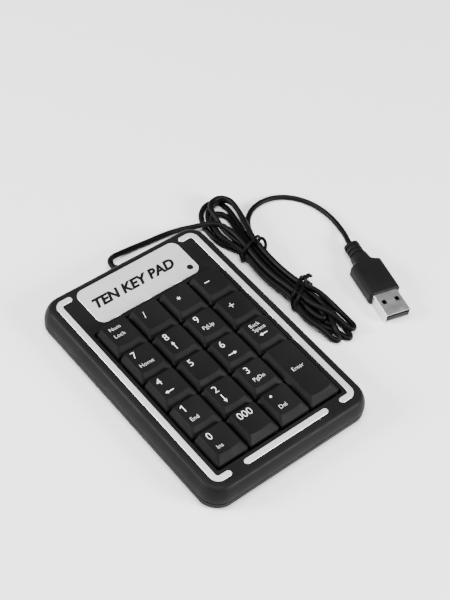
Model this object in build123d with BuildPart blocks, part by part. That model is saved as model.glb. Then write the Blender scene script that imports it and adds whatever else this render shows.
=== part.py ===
from build123d import *

import os
from math import atan2, degrees, pi, radians, tan

# USB numeric keypad, in millimetres. The origin is the centre of the keypad's footprint, on the surface it
# stands on. +X is to the right, +Y is towards the back, where the cord leaves, and +Z is up.

# ---- driving dimensions ----
WIDTH = 84.6  # widest, at the parting line
LENGTH = 118.4
CORNER = 9.0  # plan radius of the housing's corners
KEY_PITCH = 16.0
GRID_Y = -8.4  # middle of the key field
COLUMNS = 4
ROWS = 5

# heights
BASE_Z = 1.2  # underside of the bottom housing, above the feet's soles
FLOOR_Z = 2.7  # inside floor of the bottom housing
RIM_Z = 4.1  # rim of the bottom housing
PARTING_Z = 4.8  # lower edge of the top housing
BEZEL_Z = 12.0  # flat top face of the top housing
CAP_TOP_Z = 15.5
TRAVEL = 2.2

# top housing
WALL = 1.8
TOP_WALL = 1.6
RIM_WIDTH = 3.8  # width of the bull-nosed edge
NOSE_R = 2.5  # its upper arc
WELL_X, WELL_Y = 32.6, 40.7  # half sizes of the key well
WELL_WALL = 1.0
WELL_FOOT_Z = 3.7
DECK_Z, DECK_TOP_Z = 6.9, 8.3
GUIDE_IN, GUIDE_OUT, GUIDE_TOP_Z = 4.7, 6.5, 10.6

# key caps
CAP = 15.2
CAP_TOP_W = 11.8
CAP_FRONT_SLOPE, CAP_BACK_SLOPE = 3.3, 0.2
SKIRT_Z, COLLAR_Z = 13.0, 11.5
CAP_WALL = 1.0
DISH_R, DISH_DEPTH = 55.0, 0.35
STEM, STEM_Z = 4.4, 6.5

# name plate, trims and lamp
PLATE_W, PLATE_D, PLATE_Y, PLATE_R = 53.2, 20.0, 44.4, 3.8
INLAY_SINK, INLAY_RISE = 0.6, 0.12
TRIM_WIDTH = 2.7
TRIM_X, TRIM_BACK_Y, TRIM_FRONT_Y = 35.65, 53.05, -52.05  # centre lines
TRIM_HOOK_X = 29.8
TRIM_BAR_X = 20.3
TRIM_BEND = 2.6
LAMP_X, LAMP_Y, LAMP_R = 23.0, 38.4, 1.4

# membrane and rubber domes
FILM = 0.15
SHEET_X, SHEET_Y = 33.4, 41.5
MAT_Z, MAT = 3.15, 0.5
DOME_TOP_Z = 6.45

# controller board
BOARD_X, BOARD_Y, BOARD_W, BOARD_D = 5.0, 44.0, 48.0, 16.0
BOARD_Z, BOARD = 3.2, 1.2
BOARD_TOP_Z = BOARD_Z + BOARD

# screws and feet
SCREW_POINTS = [(x * s, y) for x, y in ((35.6, -52.9), (36.6, GRID_Y), (35.6, 52.9)) for s in (-1, 1)]
POST_R, BOSS_R, BOSS_FOOT_Z = 2.7, 2.4, 5.2
FOOT_POINTS = [(x, y) for x in (-28.5, 28.5) for y in (-48, 48)]
FOOT_R, FOOT_RECESS = 4.5, 0.5

# Enter key's wire stabilizer
WIRE_R = 0.5
BAR_X, BAR_Z, BAR_HALF = 19.5, 10.3, 11.0
ARM_X, ARM_Z = 26.4, 11.4
HOOK = 2.2

# cord, gland, hank and plug
CORD_D = 2.5
CORD_Z = PARTING_Z  # height of the cord in the back wall
GLAND_END_Y = 61.2
LEAD_END_Y = 54.0
FLOOR_CORD_Z = 1.27  # centre line of cord that lies on the surface
PLUG_START = (95.45, 12.35, 3.75)  # back end of the plug's strain relief
PLUG_AXIS = (-0.2453, -0.9695, 0)
GRIP_END, SHELL_TIP = 30.8, 42.8  # distances along the plug
SHELL_W, SHELL_H, SHELL_WALL, SHELL_BURIED = 12.0, 4.5, 0.3, 1.5

FLAT_X = WIDTH / 2 - RIM_WIDTH
FLAT_Y = LENGTH / 2 - RIM_WIDTH
RIM_HEIGHT = BEZEL_Z - PARTING_Z


def finish(builder, node):
    builder.part.label = node
    export_step(builder.part, f"parts/{node}.step")


def key_place(column, row):
    """Centre of a key: column 0 is the left one, row 0 the back one."""
    x = (column - (COLUMNS - 1) / 2) * KEY_PITCH
    y = GRID_Y + ((ROWS - 1) / 2 - row) * KEY_PITCH
    return x, y


ENTER_X, ENTER_Y = key_place(3, 3.5)
KEYS = {
    "key_num_lock": (0, 0),
    "key_divide": (1, 0),
    "key_multiply": (2, 0),
    "key_minus": (3, 0),
    "key_7": (0, 1),
    "key_8": (1, 1),
    "key_9": (2, 1),
    "key_plus": (3, 1),
    "key_4": (0, 2),
    "key_5": (1, 2),
    "key_6": (2, 2),
    "key_backspace": (3, 2),
    "key_1": (0, 3),
    "key_2": (1, 3),
    "key_3": (2, 3),
    "key_enter": (3, 3.5),
    "key_0": (0, 4),
    "key_000": (1, 4),
    "key_decimal": (2, 4),
}
KEY_POINTS = [key_place(*place) for place in KEYS.values()]

os.makedirs("parts", exist_ok=True)


def trim_outline(half_width, side):
    """Flat shape of a trim strip: side -1 or 1 for the C-shaped ones, 0 for the bar at the front."""
    middle_y, half_length = (TRIM_BACK_Y + TRIM_FRONT_Y) / 2, (TRIM_BACK_Y - TRIM_FRONT_Y) / 2
    with BuildSketch() as outline:
        if side:
            with Locations((0, middle_y)):
                RectangleRounded(
                    2 * (TRIM_X + half_width), 2 * (half_length + half_width), TRIM_BEND + half_width
                )
                RectangleRounded(
                    2 * (TRIM_X - half_width),
                    2 * (half_length - half_width),
                    TRIM_BEND - half_width,
                    mode=Mode.SUBTRACT,
                )
            with Locations((side * (TRIM_HOOK_X - 50), 0)):
                Rectangle(100, 2 * LENGTH, mode=Mode.SUBTRACT)
            with Locations((side * TRIM_HOOK_X, TRIM_BACK_Y), (side * TRIM_HOOK_X, TRIM_FRONT_Y)):
                Circle(half_width)
        else:
            with Locations((0, TRIM_FRONT_Y)):
                SlotCenterToCenter(2 * TRIM_BAR_X, 2 * half_width)
    return outline.sketch


TRIMS = {"trim_left": -1, "trim_right": 1, "trim_front": 0}
trim_seats = [trim_outline(TRIM_WIDTH / 2 + 0.05, side) for side in TRIMS.values()]
trim_shapes = {node: trim_outline(TRIM_WIDTH / 2, side) for node, side in TRIMS.items()}

# ---- top housing ----
# A room for the works: straight walls, with its upper edge cut back to follow the bull-nose.
with BuildPart() as top_room:
    with BuildSketch(Plane.XY.offset(PARTING_Z)):
        RectangleRounded(WIDTH - 2 * WALL, LENGTH - 2 * WALL, CORNER - WALL)
    extrude(amount=RIM_HEIGHT - TOP_WALL)
    chamfer(top_room.faces().sort_by(Axis.Z)[-1].edges(), length=2.8)

# The bull-nose is two arcs that meet on a tangent: a small one above and a large one below.
side_r = (RIM_WIDTH**2 + RIM_HEIGHT**2 - 2 * RIM_HEIGHT * NOSE_R) / (2 * (RIM_WIDTH - NOSE_R))
join_angle = degrees(atan2(RIM_HEIGHT - NOSE_R, side_r - RIM_WIDTH))
rim_inner_x = FLAT_X - 3.5

with BuildPart() as top_housing:
    with BuildLine(Plane.XY.offset(BEZEL_Z)) as rim_path:
        FilletPolyline(
            (FLAT_X, 0), (FLAT_X, FLAT_Y), (-FLAT_X, FLAT_Y), (-FLAT_X, 0), radius=CORNER - RIM_WIDTH
        )
    with BuildSketch(Plane.XZ):
        with BuildLine():
            CenterArc((FLAT_X, BEZEL_Z - NOSE_R), NOSE_R, join_angle, 90 - join_angle)
            CenterArc((FLAT_X + RIM_WIDTH - side_r, PARTING_Z), side_r, 0, join_angle)
            Polyline(
                (FLAT_X + RIM_WIDTH, PARTING_Z),
                (rim_inner_x, PARTING_Z),
                (rim_inner_x, BEZEL_Z),
                (FLAT_X, BEZEL_Z),
            )
        make_face()
    sweep(path=rim_path.wires()[0])
    mirror(about=Plane.XZ)
    with BuildSketch(Plane.XY.offset(PARTING_Z)):
        RectangleRounded(2 * FLAT_X - 6, 2 * FLAT_Y - 6, CORNER - RIM_WIDTH - 3)
    extrude(amount=RIM_HEIGHT)
    add(top_room.part, mode=Mode.SUBTRACT)
    # key well, with its deck
    with BuildSketch(Plane((0, GRID_Y, WELL_FOOT_Z))):
        Rectangle(2 * (WELL_X + WELL_WALL), 2 * (WELL_Y + WELL_WALL))
    extrude(amount=BEZEL_Z - WELL_FOOT_Z)
    with BuildSketch(Plane((0, GRID_Y, WELL_FOOT_Z))):
        Rectangle(2 * WELL_X, 2 * WELL_Y)
    extrude(amount=DECK_Z - WELL_FOOT_Z, mode=Mode.SUBTRACT)
    with BuildSketch(Plane((0, GRID_Y, DECK_TOP_Z))):
        RectangleRounded(2 * WELL_X, 2 * WELL_Y, 1.2)
    extrude(amount=BEZEL_Z - DECK_TOP_Z, mode=Mode.SUBTRACT)
    # square guides for the key stems
    with BuildSketch(Plane.XY.offset(DECK_Z)):
        with Locations(*KEY_POINTS):
            RectangleRounded(GUIDE_OUT, GUIDE_OUT, 0.5)
    extrude(amount=GUIDE_TOP_Z - DECK_Z)
    with BuildSketch(Plane.XY.offset(DECK_Z)):
        with Locations(*KEY_POINTS):
            Rectangle(GUIDE_IN, GUIDE_IN)
    extrude(amount=GUIDE_TOP_Z - DECK_Z, mode=Mode.SUBTRACT)
    # two clips that carry the stabilizer bar
    with BuildSketch(Plane.XY.offset(DECK_TOP_Z)):
        with Locations(*[(BAR_X, ENTER_Y + s * 6.0) for s in (-1, 1)]):
            Rectangle(2.0, 2.0)
    extrude(amount=2.9)
    with BuildSketch(Plane((BAR_X, ENTER_Y - BAR_HALF, BAR_Z), z_dir=(0, 1, 0))):
        Circle(WIRE_R + 0.05)
    extrude(amount=2 * BAR_HALF, mode=Mode.SUBTRACT)
    # screw bosses
    with BuildSketch(Plane.XY.offset(BOSS_FOOT_Z)):
        with Locations(*SCREW_POINTS):
            Circle(BOSS_R)
    extrude(amount=BEZEL_Z - TOP_WALL - BOSS_FOOT_Z + 0.3)
    with BuildSketch(Plane.XY.offset(BOSS_FOOT_Z)):
        with Locations(*SCREW_POINTS):
            Circle(0.85)
    extrude(amount=4.6, mode=Mode.SUBTRACT)
    # seats for the name plate and trims, and the lamp's hole
    with BuildSketch(Plane((0, PLATE_Y, BEZEL_Z - INLAY_SINK))):
        RectangleRounded(PLATE_W + 0.1, PLATE_D + 0.1, PLATE_R)
    extrude(amount=1, mode=Mode.SUBTRACT)
    with BuildSketch(Plane((LAMP_X, LAMP_Y, BEZEL_Z - 3))):
        Circle(LAMP_R + 0.05)
    extrude(amount=3, mode=Mode.SUBTRACT)
    with BuildSketch(Plane.XY.offset(BEZEL_Z - INLAY_SINK)):
        for seat in trim_seats:
            add(seat)
    extrude(amount=1, mode=Mode.SUBTRACT)
    # half of the hole for the gland
    with BuildSketch(Plane((0, LENGTH / 2 + 1, CORD_Z), z_dir=(0, -1, 0))):
        Circle(2.65)
    extrude(amount=3, mode=Mode.SUBTRACT)
finish(top_housing, "top_housing")

# ---- name plate, trims and lamp lens ----
for node, shape in trim_shapes.items():
    with BuildPart() as trim:
        with BuildSketch(Plane.XY.offset(BEZEL_Z - INLAY_SINK)):
            add(shape)
        extrude(amount=INLAY_SINK + INLAY_RISE)
        chamfer(trim.faces().sort_by(Axis.Z)[-1].edges(), length=0.15)
    finish(trim, node)

with BuildPart() as name_plate:
    with BuildSketch(Plane((0, PLATE_Y, BEZEL_Z - INLAY_SINK))):
        RectangleRounded(PLATE_W, PLATE_D, PLATE_R)
    extrude(amount=INLAY_SINK + INLAY_RISE)
    chamfer(name_plate.faces().sort_by(Axis.Z)[-1].edges(), length=0.12)
    with BuildSketch(Plane((LAMP_X, LAMP_Y, BEZEL_Z - INLAY_SINK))):
        Circle(LAMP_R + 0.05)
    extrude(amount=1, mode=Mode.SUBTRACT)
finish(name_plate, "name_plate")

with BuildPart() as num_lock_lens:
    with BuildSketch(Plane((LAMP_X, LAMP_Y, 7.4))):
        Circle(LAMP_R)
    extrude(amount=BEZEL_Z + 0.05 - 7.4)
    with BuildSketch(Plane((LAMP_X, LAMP_Y, 9.2))):
        Circle(LAMP_R + 0.8)
    extrude(amount=1.1)
finish(num_lock_lens, "num_lock_lens")

# ---- bottom housing ----
RIM_STEP = 0.1
with BuildPart() as bottom_housing:
    with BuildSketch(Plane.XY.offset(BASE_Z)):
        RectangleRounded(WIDTH - 2 * RIM_STEP, LENGTH - 2 * RIM_STEP, CORNER - RIM_STEP)
    extrude(amount=RIM_Z - BASE_Z)
    fillet(bottom_housing.faces().sort_by(Axis.Z)[0].edges(), radius=0.8)
    with BuildSketch(Plane.XY.offset(FLOOR_Z)):
        RectangleRounded(WIDTH - 2 * WALL - 0.2, LENGTH - 2 * WALL - 0.2, CORNER - WALL - 0.1)
    extrude(amount=6.0 - FLOOR_Z)
    with BuildSketch(Plane.XY.offset(FLOOR_Z)):
        RectangleRounded(WIDTH - 2 * WALL - 2.2, LENGTH - 2 * WALL - 2.2, CORNER - WALL - 1.1)
    extrude(amount=6.0 - FLOOR_Z, mode=Mode.SUBTRACT)
    # posts for the housing screws
    with BuildSketch(Plane.XY.offset(BASE_Z)):
        with Locations(*SCREW_POINTS):
            Circle(POST_R)
    extrude(amount=BOSS_FOOT_Z - 0.05 - BASE_Z)
    with Locations(*[Location((x, y, BASE_Z), (180, 0, 0)) for x, y in SCREW_POINTS]):
        CounterBoreHole(radius=1.1, counter_bore_radius=2.0, counter_bore_depth=1.7, depth=5)
    # recesses for the feet
    with BuildSketch(Plane.XY.offset(BASE_Z)):
        with Locations(*FOOT_POINTS):
            Circle(FOOT_R + 0.1)
    extrude(amount=FOOT_RECESS, mode=Mode.SUBTRACT)
    # board posts
    with BuildSketch(Plane.XY.offset(FLOOR_Z)):
        with Locations((BOARD_X - 20.5, 48.5), (BOARD_X + 20.5, 48.5)):
            Circle(2.0)
    extrude(amount=BOARD_Z - FLOOR_Z)
    with BuildSketch(Plane.XY.offset(BASE_Z + 0.5)):
        with Locations((BOARD_X - 20.5, 48.5), (BOARD_X + 20.5, 48.5)):
            Circle(0.9)
    extrude(amount=BOARD_Z - BASE_Z - 0.5, mode=Mode.SUBTRACT)
    # other half of the hole for the gland, and a gap in the lip for its flange
    with BuildSketch(Plane((0, LENGTH / 2 + 1, CORD_Z), z_dir=(0, -1, 0))):
        Circle(2.65)
    extrude(amount=3, mode=Mode.SUBTRACT)
    with BuildSketch(Plane((0, 56.55, FLOOR_Z))):
        Rectangle(7.4, 1.6)
    extrude(amount=4, mode=Mode.SUBTRACT)
finish(bottom_housing, "bottom_housing")

with BuildPart() as rubber_feet:
    with BuildSketch():
        with Locations(*FOOT_POINTS):
            Circle(FOOT_R)
    extrude(amount=BASE_Z + FOOT_RECESS)
    fillet(rubber_feet.faces().group_by(Axis.Z)[0].edges(), radius=0.3)
finish(rubber_feet, "rubber_feet")


def pan_screws(node, planes, head_r, head, length):
    """Pan-head screws: each plane lies under a head and its normal points down the shank."""
    slot = 1.1 * head_r
    with BuildPart() as screws:
        for plane in planes:
            with BuildSketch(plane.offset(-head)):
                Circle(head_r)
            extrude(amount=head)
            with BuildSketch(plane.offset(-head)):
                Rectangle(0.5, slot)
                Rectangle(slot, 0.5)
            extrude(amount=head * 0.6, mode=Mode.SUBTRACT)
            with BuildSketch(plane):
                Circle(0.8)
            extrude(amount=length)
    finish(screws, node)


pan_screws("housing_screws", [Plane((x, y, BASE_Z + 1.7)) for x, y in SCREW_POINTS], 1.8, 1.2, 6.0)

# ---- membrane and rubber domes ----
TAIL_W, TAIL_END_Y = 24.0, 43.0
FILMS = {"membrane_lower_film": 0, "membrane_spacer": 1, "membrane_upper_film": 2}
for node, layer in FILMS.items():
    with BuildPart() as film:
        with BuildSketch(Plane((0, GRID_Y, FLOOR_Z + layer * FILM))):
            RectangleRounded(2 * SHEET_X, 2 * SHEET_Y, 2)
            if node == "membrane_spacer":
                with Locations(*[(x, y - GRID_Y) for x, y in KEY_POINTS]):
                    Circle(2.2, mode=Mode.SUBTRACT)
        extrude(amount=FILM)
        if node != "membrane_spacer":
            tail_start = GRID_Y + SHEET_Y - 3
            with BuildSketch(Plane((BOARD_X, (tail_start + TAIL_END_Y) / 2, FLOOR_Z + layer * FILM))):
                Rectangle(TAIL_W, TAIL_END_Y - tail_start)
            extrude(amount=FILM)
    finish(film, node)

with BuildPart() as rubber_domes:
    with BuildSketch(Plane((0, GRID_Y, MAT_Z))):
        RectangleRounded(2 * SHEET_X, 2 * SHEET_Y, 2)
    extrude(amount=MAT)
    for x, y in KEY_POINTS:
        with BuildSketch(Plane((x, y, MAT_Z + MAT))):
            Circle(4.2)
        with BuildSketch(Plane((x, y, DOME_TOP_Z))):
            Circle(2.2)
        loft()
    for x, y in KEY_POINTS:
        with BuildSketch(Plane((x, y, MAT_Z))):
            Circle(3.8)
        with BuildSketch(Plane((x, y, DOME_TOP_Z - 0.9))):
            Circle(1.8)
        loft(mode=Mode.SUBTRACT)
        with BuildSketch(Plane((x, y, MAT_Z + 2.3))):
            Circle(1.0)
        extrude(amount=DOME_TOP_Z - MAT_Z - 2.4)
finish(rubber_domes, "rubber_domes")

# ---- controller board and what is on it ----
BOARD_SCREWS = [(BOARD_X - 20.5, 48.5), (BOARD_X + 20.5, 48.5)]
with BuildPart() as controller_board:
    with BuildSketch(Plane((BOARD_X, BOARD_Y, BOARD_Z))):
        RectangleRounded(BOARD_W, BOARD_D, 1)
    extrude(amount=BOARD)
    with BuildSketch(Plane.XY.offset(BOARD_Z)):
        with Locations(*BOARD_SCREWS):
            Circle(1.0)
    extrude(amount=BOARD, mode=Mode.SUBTRACT)
finish(controller_board, "controller_board")

with BuildPart() as controller_chip:
    with BuildSketch(Plane((8, 43, BOARD_TOP_Z))):
        Circle(4.2)
    extrude(amount=1.3)
    fillet(controller_chip.faces().sort_by(Axis.Z)[-1].edges(), radius=1.1)
finish(controller_chip, "controller_chip")

# Small parts on the board: a crystal, two capacitors, three resistors and the lamp's chip.
COMPONENTS = [
    (-6, 44, 9, 3.4, 2.8),
    (-13, 40, 3.2, 1.7, 1.1),
    (-13, 43.5, 3.2, 1.7, 1.1),
    (16, 47, 2, 1.3, 0.6),
    (16, 44.5, 2, 1.3, 0.6),
    (16, 42, 2, 1.3, 0.6),
    (LAMP_X, LAMP_Y, 3.2, 1.8, 1.6),
]
with BuildPart() as board_components:
    for x, y, width, depth, height in COMPONENTS:
        with BuildSketch(Plane((x, y, BOARD_TOP_Z))):
            RectangleRounded(width, depth, 0.25)
        extrude(amount=height)
finish(board_components, "board_components")

CONNECTOR_BACK_Y = 50.6
with BuildPart() as cord_connector:
    with BuildSketch(Plane((0, CONNECTOR_BACK_Y - 2, BOARD_TOP_Z))):
        Rectangle(8, 4)
    extrude(amount=3.2)
    with BuildSketch(Plane((0, CONNECTOR_BACK_Y - 2, BOARD_TOP_Z + 3.2))):
        Rectangle(6.4, 2.4)
    extrude(amount=-0.8, mode=Mode.SUBTRACT)
finish(cord_connector, "cord_connector")

board_screw_seats = [Plane((x, y, BOARD_TOP_Z), z_dir=(0, 0, -1)) for x, y in BOARD_SCREWS]
pan_screws("board_screws", board_screw_seats, 1.7, 1.1, 2.4)

# ---- cord inside the housing, and its gland ----
with BuildPart() as cord_gland:
    with BuildSketch(Plane((0, 56.55, FLOOR_Z + 0.05))):
        Rectangle(7.2, 1.3)
    extrude(amount=4.8)
    with BuildSketch(Plane((0, 57.2, CORD_Z), z_dir=(0, 1, 0))):
        Circle(2.6)
    extrude(amount=LENGTH / 2 - 57.2)
    with BuildSketch(Plane((0, LENGTH / 2, CORD_Z), z_dir=(0, 1, 0))):
        Circle(2.6)
    with BuildSketch(Plane((0, GLAND_END_Y, CORD_Z), z_dir=(0, 1, 0))):
        Circle(1.8)
    loft()
    with BuildSketch(Plane((0, 55.9, CORD_Z), z_dir=(0, 1, 0))):
        Circle(CORD_D / 2)
    extrude(amount=GLAND_END_Y - 55.9, mode=Mode.SUBTRACT)
finish(cord_gland, "cord_gland")

with BuildPart() as cord_inner_end:
    with BuildSketch(Plane((0, LEAD_END_Y, CORD_Z), z_dir=(0, 1, 0))):
        Circle(CORD_D / 2)
    extrude(amount=GLAND_END_Y - LEAD_END_Y)
finish(cord_inner_end, "cord_inner_end")

with BuildPart() as cord_wires:
    for i in range(4):
        side_x = (i - 1.5) / 1.5
        start_x = 0.55 if side_x > 0 else -0.55
        start_z = CORD_Z + (0.55 if i in (1, 2) else -0.55)
        end_x, end_z = 2.6 * side_x, BOARD_TOP_Z + 1.6
        with BuildLine() as wire_path:
            FilletPolyline(
                (start_x, LEAD_END_Y, start_z),
                (start_x, LEAD_END_Y - 1.0, start_z),
                (end_x, CONNECTOR_BACK_Y + 1.0, end_z),
                (end_x, CONNECTOR_BACK_Y, end_z),
                radius=0.5,
            )
        with BuildSketch(Plane((start_x, LEAD_END_Y, start_z), z_dir=(0, -1, 0))):
            Circle(0.3)
        sweep(path=wire_path.wires()[0])
finish(cord_wires, "cord_wires")


# ---- key caps ----
def key_cap(node, x, y, depth):
    """A hollow cap with a sloped skirt, a straight collar that dips into the well, and a hooked stem."""
    top_depth = depth - CAP_FRONT_SLOPE - CAP_BACK_SLOPE
    top_y = y + (CAP_FRONT_SLOPE - CAP_BACK_SLOPE) / 2
    ceiling_z = CAP_TOP_Z - DISH_DEPTH - 1.1
    with BuildPart() as cap:
        with BuildSketch(Plane((x, y, SKIRT_Z))):
            RectangleRounded(CAP, depth, 0.8)
        with BuildSketch(Plane((x, top_y, CAP_TOP_Z))):
            RectangleRounded(CAP_TOP_W, top_depth, 1.2)
        loft(ruled=True)
        with BuildSketch(Plane((x, y + depth, CAP_TOP_Z - DISH_DEPTH + DISH_R), z_dir=(0, -1, 0))):
            Circle(DISH_R)
        extrude(amount=2 * depth, mode=Mode.SUBTRACT)
        fillet(cap.edges().filter_by(lambda e: e.center().Z > CAP_TOP_Z - DISH_DEPTH - 0.1), radius=0.35)
        with BuildSketch(Plane((x, y, COLLAR_Z))):
            RectangleRounded(CAP, depth, 0.8)
        extrude(amount=SKIRT_Z - COLLAR_Z)
        # hollow
        with BuildSketch(Plane((x, y, COLLAR_Z))):
            RectangleRounded(CAP - 2 * CAP_WALL, depth - 2 * CAP_WALL, 0.6)
        extrude(amount=SKIRT_Z - COLLAR_Z, mode=Mode.SUBTRACT)
        with BuildSketch(Plane((x, y, SKIRT_Z))):
            RectangleRounded(CAP - 2 * CAP_WALL, depth - 2 * CAP_WALL, 0.6)
        with BuildSketch(Plane((x, top_y, ceiling_z))):
            RectangleRounded(CAP_TOP_W - 1.2, top_depth - 1.2, 0.6)
        loft(ruled=True, mode=Mode.SUBTRACT)
        # stem, with two hooks below the deck that keep the cap in
        with BuildSketch(Plane((x, y, STEM_Z))):
            Rectangle(STEM, STEM)
        extrude(amount=ceiling_z - STEM_Z + 0.2)
        with BuildSketch(Plane((x, y, STEM_Z))):
            Rectangle(STEM + 1.2, 1.6)
        extrude(amount=0.3)
        if node == "key_enter":
            # lugs with a slot for the stabilizer bar's ends
            for side in (-1, 1):
                lug_y = y + side * (BAR_HALF - HOOK / 2 - 0.2)
                with BuildSketch(Plane((ARM_X, lug_y, ARM_Z - 0.5))):
                    Rectangle(2.6, 1.2)
                extrude(amount=ceiling_z - ARM_Z + 0.7)
                with BuildSketch(Plane((ARM_X, lug_y - 1, ARM_Z), x_dir=(1, 0, 0), z_dir=(0, 1, 0))):
                    SlotCenterToCenter(1.2, 2 * (WIRE_R + 0.1), rotation=90)
                extrude(amount=2, mode=Mode.SUBTRACT)
    finish(cap, node)


for node, place in KEYS.items():
    tall = KEY_PITCH if node == "key_enter" else 0
    key_cap(node, *key_place(*place), CAP + tall)

# The stabilizer bar turns in the two clips. Its arms end in hooks that ride in the Enter cap's lugs.
with BuildPart() as stabilizer_bar:
    with BuildLine() as bar_path:
        FilletPolyline(
            (ARM_X, ENTER_Y - BAR_HALF + HOOK, ARM_Z),
            (ARM_X, ENTER_Y - BAR_HALF, ARM_Z),
            (BAR_X, ENTER_Y - BAR_HALF, BAR_Z),
            (BAR_X, ENTER_Y + BAR_HALF, BAR_Z),
            (ARM_X, ENTER_Y + BAR_HALF, ARM_Z),
            (ARM_X, ENTER_Y + BAR_HALF - HOOK, ARM_Z),
            radius=0.8,
        )
    with BuildSketch(Plane((ARM_X, ENTER_Y - BAR_HALF + HOOK, ARM_Z), z_dir=(0, -1, 0))):
        Circle(WIRE_R)
    sweep(path=bar_path.wires()[0])
finish(stabilizer_bar, "stabilizer_bar")


# ---- free cord ----
def corner_radii(points):
    """The largest arcs that neighbouring runs leave room for: 0.45 of the shorter run at each corner."""
    radii = []
    for before, here, after in zip(points, points[1:], points[2:]):
        run_in = Vector(*here) - Vector(*before)
        run_out = Vector(*after) - Vector(*here)
        turn = run_in.get_angle(run_out)
        radii.append(0.45 * min(run_in.length, run_out.length) / tan(radians(turn / 2)))
    return radii


def cord_tube(node, points):
    radii = corner_radii(points)
    start = Vector(*points[0])
    with BuildPart() as tube:
        with BuildLine() as path:
            FilletPolyline(*points, radius=radii)
        with BuildSketch(Plane(start, z_dir=Vector(*points[1]) - start)):
            Circle(CORD_D / 2)
        sweep(path=path.wires()[0])
    length = path.wires()[0].length
    share = tube.part.volume / (length * pi * CORD_D**2 / 4)
    print(node, "length", round(length, 1), "volume share", round(share, 4))
    print(node, "radii", [round(r, 1) for r in radii])
    finish(tube, node)


CORD_BACK_ROUTE = [
    (0, GLAND_END_Y, CORD_Z),
    (0, 63.6, CORD_Z),
    (1.1, 66.1, 4.3),
    (3.9, 67.8, 3.3),
    (8.4, 68.5, 2.0),
    (15.2, 68.3, 1.4),
    (24.0, 67.4, FLOOR_CORD_Z),
    (33.0, 66.6, FLOOR_CORD_Z),
    (41.0, 64.8, FLOOR_CORD_Z),
    (47.0, 61.2, FLOOR_CORD_Z),
    (50.6, 57.6, FLOOR_CORD_Z),
]
CORD_FREE_ROUTE = [
    (64.6, 47.4, 2.6),
    (69.0, 53.8, 1.9),
    (76.4, 57.5, FLOOR_CORD_Z),
    (84.6, 57.5, FLOOR_CORD_Z),
    (92.0, 54.2, FLOOR_CORD_Z),
    (97.8, 47.8, FLOOR_CORD_Z),
    (101.1, 39.3, FLOOR_CORD_Z),
    (101.5, 30.4, FLOOR_CORD_Z),
    (100.0, 23.0, 1.6),
    (97.9, 18.5, 3.1),
    (96.16, 15.16, PLUG_START[2]),
    PLUG_START,
]
cord_tube("cord_tube_back", CORD_BACK_ROUTE)
cord_tube("cord_tube_free", CORD_FREE_ROUTE)

# The rest of the cord is folded into a flat hank beside the keypad, tied twice. Its loops fan out at the back.
HANK_OUTLINE = [
    (53.2, -19.0),
    (57.5, -23.8),
    (65.0, -24.2),
    (68.8, -17.5),
    (68.8, -7.0),
    (64.8, 5.0),
    (63.6, 20.0),
    (64.0, 38.5),
    (68.2, 50.0),
    (69.6, 60.5),
    (66.5, 69.8),
    (58.0, 71.0),
    (50.4, 66.6),
    (47.0, 57.5),
    (47.8, 47.0),
    (51.6, 38.0),
    (50.8, 20.0),
    (51.8, 4.0),
    (51.2, -9.0),
]
HANK_HEIGHT, LOOPS_HEIGHT, LOOPS_Y = 8.2, 6.6, 43.0
TIE_HEIGHT, TIE_W = 8.7, 1.8
with BuildPart() as cord_hank:
    with BuildSketch():
        with BuildLine():
            FilletPolyline(*HANK_OUTLINE, radius=3.0, close=True)
        make_face()
    extrude(amount=HANK_HEIGHT)
    with BuildSketch(Plane((58, LOOPS_Y + 20, LOOPS_HEIGHT))):
        Rectangle(30, 40)
    extrude(amount=5, mode=Mode.SUBTRACT)
    fillet(cord_hank.faces().filter_by(Axis.Z).group_by(Axis.Z)[-1].edges(), radius=1.2)
finish(cord_hank, "cord_hank")

for node, tie_x, tie_y in (("twist_tie_upper", 57.8, 38.4), ("twist_tie_lower", 58.3, 4.6)):
    with BuildPart() as tie:
        band = Plane((tie_x, tie_y - TIE_W / 2, TIE_HEIGHT / 2), x_dir=(1, 0, 0), z_dir=(0, 1, 0))
        with BuildSketch(band):
            RectangleRounded(14.0, TIE_HEIGHT, 2.6)
            RectangleRounded(12.8, TIE_HEIGHT - 1.2, 2.0, mode=Mode.SUBTRACT)
        extrude(amount=TIE_W)
        with BuildSketch(Plane((tie_x + 6.0, tie_y, 5.2), z_dir=(1, 0.35, 0.1))):
            Circle(0.6)
        extrude(amount=5.5)
    finish(tie, node)

# ---- USB plug ----
PLUG = Plane(origin=PLUG_START, x_dir=(-PLUG_AXIS[1], PLUG_AXIS[0], 0), z_dir=PLUG_AXIS)
RELIEF_LENGTH, RIB_PITCH, RIB = 6.9, 2.3, 1.4
# the shoulder's sections: distance along the plug, width, height and corner radius
SHOULDER = [
    (RELIEF_LENGTH, 8.0, 6.6, 3.0),
    (10.0, 8.6, 6.8, 3.0),
    (11.4, 9.8, 7.0, 2.9),
    (12.5, 12.4, 7.3, 2.5),
    (13.2, 15.0, 7.4, 2.0),
]

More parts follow.
